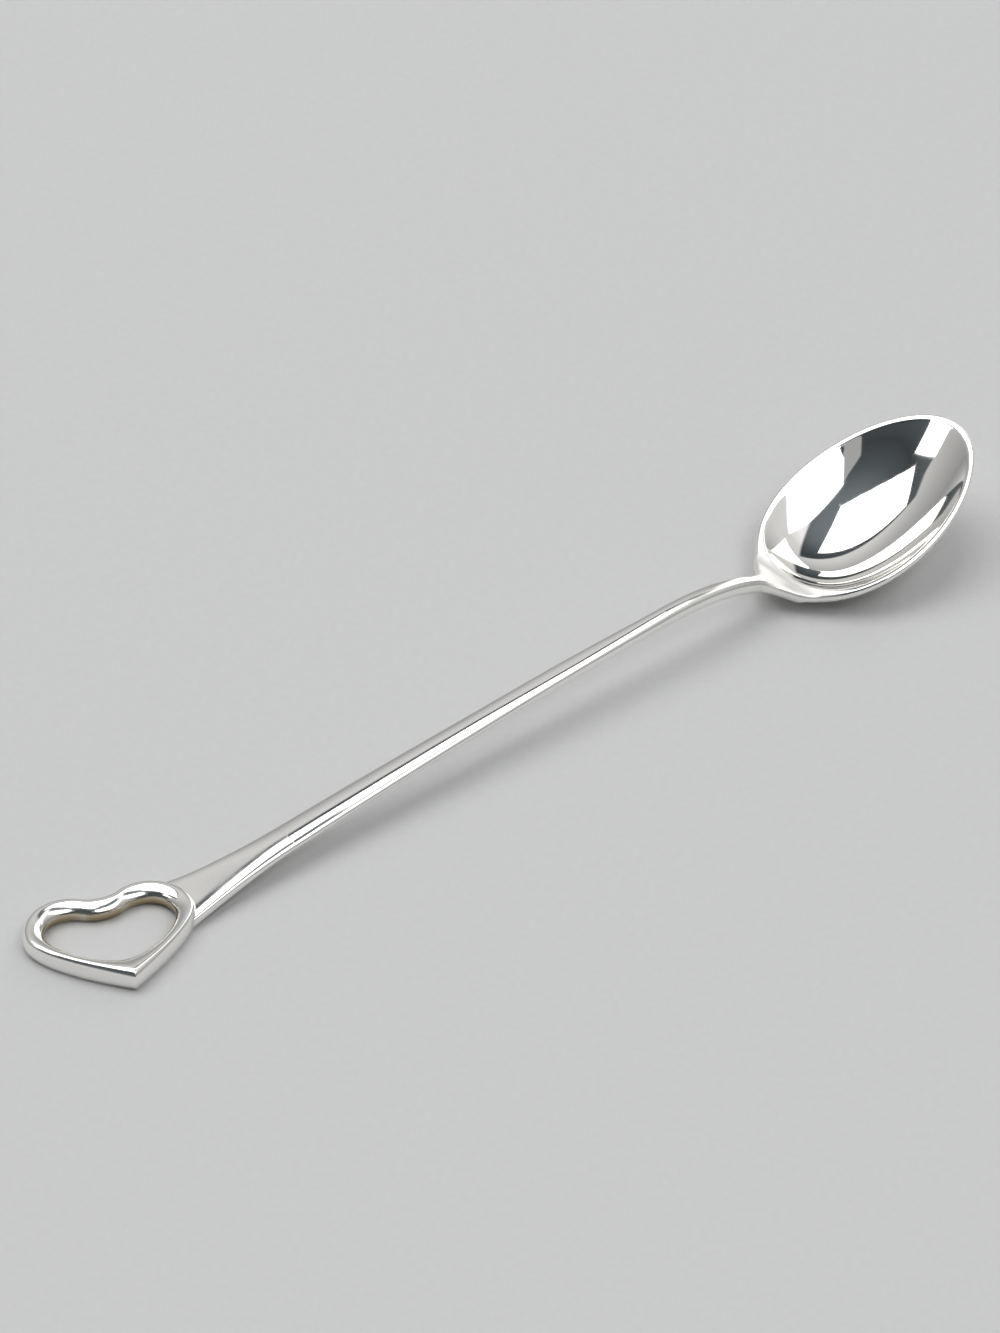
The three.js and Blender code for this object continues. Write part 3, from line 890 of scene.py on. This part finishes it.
# Light: soft boxes in a room that is light ahead, to the left and to the right and dim elsewhere, with a pale
# horizon. Places are given from the bowl, along the camera's right, its heading and upwards, as shares of the
# boxes' height. Edges and the horizon fade over sines of the angle past their plane
BOX_HEIGHT = 2.4
BOX_GLOW = 2.6
SHARP_EDGE = 0.03
SOFT_EDGE = 0.12
HORIZON_FADE = (0.24, 0.2)
bowl_place = Vector((bowl_x, 0, rim_middle)) * MM


def way_to(right, forward, up=1):
    """The way from the bowl to a place in the room."""
    return rightward * right + ahead * forward + upright * up


def wall_axis(first, second, inside):
    """The axis across the plane through the bowl and two places overhead, towards the side of a third."""
    axis = way_to(*first).cross(way_to(*second)).normalized()
    return axis if axis.dot(way_to(*inside)) > 0 else -axis


def make_world():
    """The room: each light wall begins at straight edges overhead, where a share of the way past the edge's
    plane goes from 0 to 1. The shades of the light and the dim part follow the height, and below them lies a
    pale horizon."""
    world = bpy.data.worlds.new("studio")
    world.use_nodes = True
    bpy.context.scene.world = world
    tree = world.node_tree
    way = new_node(tree, "ShaderNodeTexCoord")
    split = new_node(tree, "ShaderNodeSeparateXYZ")
    tree.links.new(way.outputs["Generated"], split.inputs[0])

    def ramp(*stops, tint=(1, 1, 1)):
        """A shade that goes through the stops with the height, times a tint."""
        node = new_node(tree, "ShaderNodeValToRGB")
        while len(node.color_ramp.elements) < len(stops):
            node.color_ramp.elements.new(1)
        for element, (position, shade) in zip(node.color_ramp.elements, stops):
            element.position = position
            element.color = (*(shade * part for part in tint), 1)
        tree.links.new(split.outputs["Z"], node.inputs["Fac"])
        return node.outputs["Color"]

    def past(axis, start, end):
        """A share that goes from 0 to 1 as the way's part along an axis goes from start to end."""
        dot = new_node(tree, "ShaderNodeVectorMath", operation="DOT_PRODUCT")
        dot.inputs[1].default_value = axis
        tree.links.new(way.outputs["Generated"], dot.inputs[0])
        span = new_node(tree, "ShaderNodeMapRange")
        span.inputs["From Min"].default_value = start
        span.inputs["From Max"].default_value = end
        tree.links.new(dot.outputs["Value"], span.inputs["Value"])
        return span.outputs["Result"]

    def both(first, second, operation):
        """Two shares made one: their product, or the larger of both."""
        node = new_node(tree, "ShaderNodeMath", operation=operation)
        tree.links.new(first, node.inputs[0])
        tree.links.new(second, node.inputs[1])
        return node.outputs[0]

    def blend(factor, under, over):
        """One colour over another by a share."""
        node = new_node(tree, "ShaderNodeMix", data_type="RGBA")
        tree.links.new(factor, node.inputs["Factor"])
        tree.links.new(under, node.inputs["A"])
        tree.links.new(over, node.inputs["B"])
        return node.outputs["Result"]

    ahead_edge = past(wall_axis((0.254, 0.86), (-1.03, 0.63), (0, 2)), 0, SHARP_EDGE)
    left_edge = past(wall_axis((-1.207, 0.282), (-1.158, 0.748), (-2, 0.6)), 0, SHARP_EDGE)
    left_back = past(wall_axis((-1.2, 0.26), (-1.75, -0.1), (-2, 0.6)), 0, SHARP_EDGE)
    right_edge = past(wall_axis((0.385, -0.073), (0.48, 0.5), (2, 0)), 0, SHARP_EDGE)
    near_edge = past(wall_axis((0.093, -0.492), (0.385, -0.073), (2, -1)), 0, SHARP_EDGE)
    back_edge = past(wall_axis((0.1, -0.55), (1.5, -2), (2, 0)), 0, SOFT_EDGE)
    left_side = both(left_edge, left_back, "MULTIPLY")
    right_side = both(both(right_edge, near_edge, "MAXIMUM"), back_edge, "MULTIPLY")
    light = both(both(ahead_edge, left_side, "MAXIMUM"), right_side, "MAXIMUM")
    wall = ramp((0.2, 0.3), (0.34, 0.37), (0.47, 0.44), (0.56, 0.51), (0.64, 0.58), (0.7, 0.64),
                (0.8, 0.68), (0.88, 0.92))
    dim = ramp((0.65, 0.1), (0.75, 0.05), (0.85, 0.09), (0.93, 0.16), (0.98, 0.19), tint=(0.88, 1, 1.08))
    horizon = ramp((0.06, PALE), (0.12, 0.4), (0.2, 0.3))
    room = blend(light, dim, wall)
    room = blend(past(upright, *HORIZON_FADE), room, horizon)
    tree.links.new(room, tree.nodes["Background"].inputs["Color"])


make_world()


def soft_box(name, radiance, *corners, card=False):
    """A soft box: one glowing sheet with its corners at given places, which the camera doesn't see. A card
    shows in reflections alone, and neither lights nor shades the floor."""
    material = bpy.data.materials.new(name)
    material.use_nodes = True
    tree = material.node_tree
    glow = new_node(tree, "ShaderNodeEmission")
    glow.inputs["Strength"].default_value = radiance
    tree.links.new(glow.outputs[0], tree.nodes["Material Output"].inputs["Surface"])
    mesh = bpy.data.meshes.new(name)
    places = [bowl_place + way_to(*corner) * BOX_HEIGHT for corner in corners]
    mesh.from_pydata(places, [], [range(len(corners))])
    mesh.materials.append(material)
    box = bpy.data.objects.new(name, mesh)
    box.visible_camera = False
    box.visible_diffuse = not card
    box.visible_shadow = not card
    bpy.context.scene.collection.objects.link(box)


soft_box("overhead_box", BOX_GLOW, (0.241, 0.618), (0.052, -0.235), (-0.16, -0.283), (-0.4, -0.276),
         (-0.66, -0.215), (-0.95, -0.1), (-1.03, 0.597), (-0.519, 0.633))
soft_box("front_box", BOX_GLOW, (0.85, -0.53), (0.62, -0.81), (0.36, -1), (0.166, -0.784),
         (0.093, -0.492), (0.385, -0.073), (0.699, 0.299))
soft_box("grey_card", 0.38, (0.2, -0.84), (0.18, -1), (-0.01, -0.95), (-0.05, -0.76), (0.06, -0.6),
         (0.1, -0.5))
soft_box("left_box", BOX_GLOW, (-1.114, -0.534), (-1.686, -0.002), (-1.408, 0.215), (-0.89, -0.304))
soft_box("right_box", 1.8, (0.779, 0.45), (0.38, 1.242, 0.75), (0.209, 1.485, 0.03), (0.526, 1.079, 0.02))

# A card low over the stem, in a plane through the bowl, which therefore sees it edge on, in front of the
# overhead box
CARD_TOP = (-0.27, 0.12)
CARD_FOOT = (0.01, -0.16)
CARD_NEAR = 0.015
CARD_FAR = 0.079


def card_corner(place, share):
    """The point on the line from the bowl through a place overhead, at a share of the boxes' height."""
    return place[0] * share, place[1] * share, share


soft_box("stem_card", 1.2, card_corner(CARD_TOP, CARD_NEAR), card_corner(CARD_FOOT, CARD_NEAR),
         card_corner(CARD_FOOT, CARD_FAR), card_corner(CARD_TOP, CARD_FAR), card=True)

bpy.context.scene.view_settings.view_transform = "Standard"
